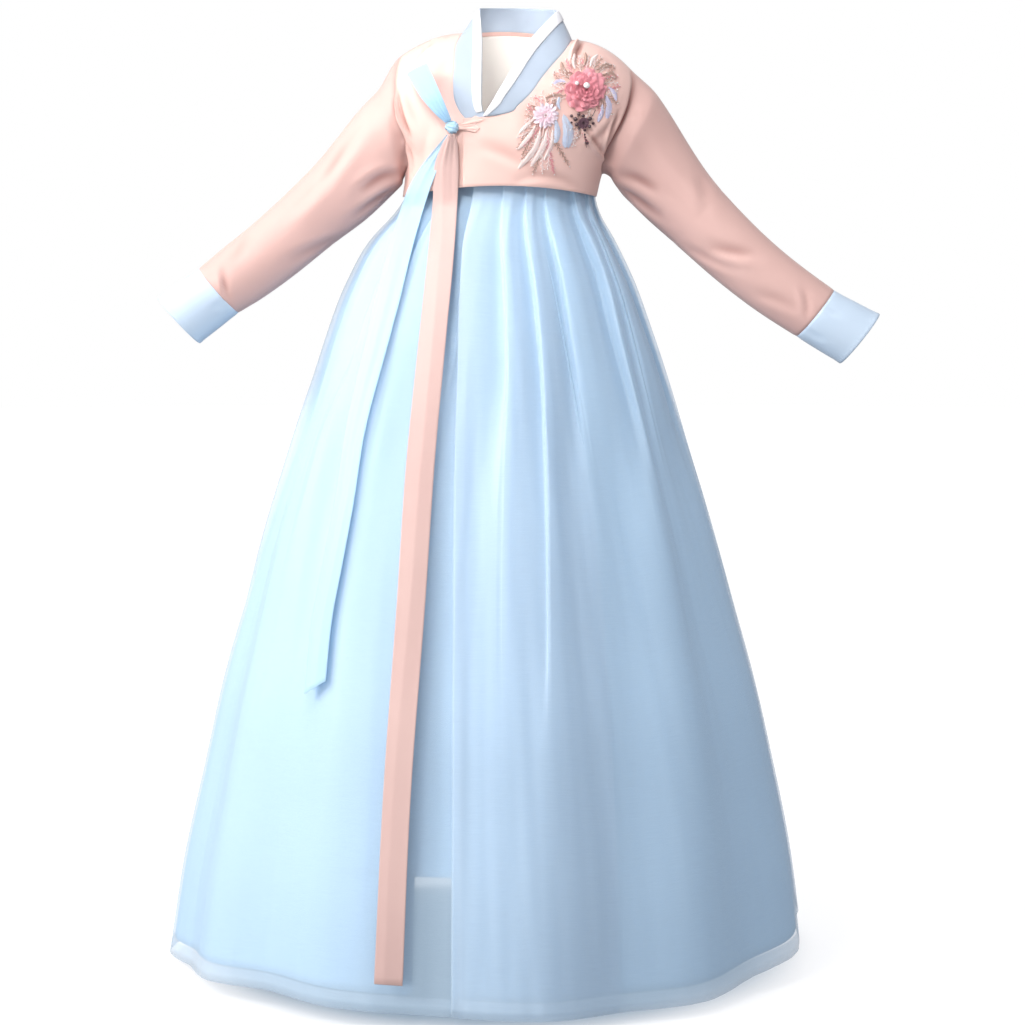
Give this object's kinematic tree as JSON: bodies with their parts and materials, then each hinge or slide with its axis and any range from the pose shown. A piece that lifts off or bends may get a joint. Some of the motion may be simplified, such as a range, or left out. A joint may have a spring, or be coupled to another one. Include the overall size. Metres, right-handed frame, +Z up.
{
  "type": "korean hanbok",
  "caption": "Two-piece hanbok in worn shape: short crossed jacket with collar band, tied ribbons and flower spray, over a long sheer pleated wrap skirt with a lining.",
  "frame": {"origin": "centre of the neck's base, between the neck ends of the two shoulder seams, where the wearer holds it", "axes": "+Z up, +X towards the wearer's left, the fronts face -Y"},
  "size_m": [1.0666, 0.9317, 1.4255],
  "materials": {
    "peach_satin": "smooth satin with a soft sheen",
    "ivory_cloth": "plain matt lining cloth",
    "blue_satin": "pale blue satin with a soft sheen",
    "white_band": "crisp white ribbed band",
    "sheer_blue": "sheer stiff cloth with a fine shimmer",
    "blue_lining": "opaque plain lining with a low sheen",
    "rose_chiffon": "layered soft chiffon petals",
    "lilac_chiffon": "soft chiffon petals",
    "plum_thread": "dark raised thread and beads",
    "pearl": "smooth pearl with a glossy coat",
    "leaf_thread": "raised satin stitch"
  },
  "bodies": {
    "root": {"jeogori_back": "peach_satin", "jeogori_back_lining": "ivory_cloth", "jeogori_front_outer": "peach_satin", "jeogori_front_inner": "peach_satin", "sleeve_left_upper_front": "peach_satin", "sleeve_left_upper_back": "peach_satin", "sleeve_left_lower_front": "peach_satin", "sleeve_left_lower_back": "peach_satin", "sleeve_right_upper_front": "peach_satin", "sleeve_right_upper_back": "peach_satin", "sleeve_right_lower_front": "peach_satin", "sleeve_right_lower_back": "peach_satin", "cuff_left": "blue_satin", "cuff_right": "blue_satin", "git_band": "blue_satin", "dongjeong_strip": "white_band", "goreum_peach_root": "peach_satin", "goreum_peach_tail": "peach_satin", "goreum_knot": "sheer_blue", "goreum_blue_loop": "sheer_blue", "goreum_blue_tail": "sheer_blue", "chima_outer_1": "sheer_blue", "chima_outer_2": "sheer_blue", "chima_outer_3": "sheer_blue", "chima_outer_4": "sheer_blue", "chima_outer_5": "sheer_blue", "chima_outer_6": "sheer_blue", "chima_lining_top_1": "blue_lining", "chima_lining_top_2": "blue_lining", "chima_lining_top_3": "blue_lining", "chima_lining_top_4": "blue_lining", "chima_lining_top_5": "blue_lining", "chima_lining_top_6": "blue_lining", "chima_lining_middle_1": "blue_lining", "chima_lining_middle_2": "blue_lining", "chima_lining_middle_3": "blue_lining", "chima_lining_middle_4": "blue_lining", "chima_lining_middle_5": "blue_lining", "chima_lining_middle_6": "blue_lining", "chima_lining_low_1": "blue_lining", "chima_lining_low_2": "blue_lining", "chima_lining_low_3": "blue_lining", "chima_lining_low_4": "blue_lining", "chima_lining_low_5": "blue_lining", "chima_lining_low_6": "blue_lining", "chima_waistband": "ivory_cloth", "rosette": "rose_chiffon", "blossom": "lilac_chiffon", "bud": "plum_thread", "leaf_long": "leaf_thread", "leaf_feather": "leaf_thread", "leaf_side": "leaf_thread", "leaf_upper": "leaf_thread", "pearl_large": "pearl", "pearl_small": "pearl"}
  },
  "joints": []
}
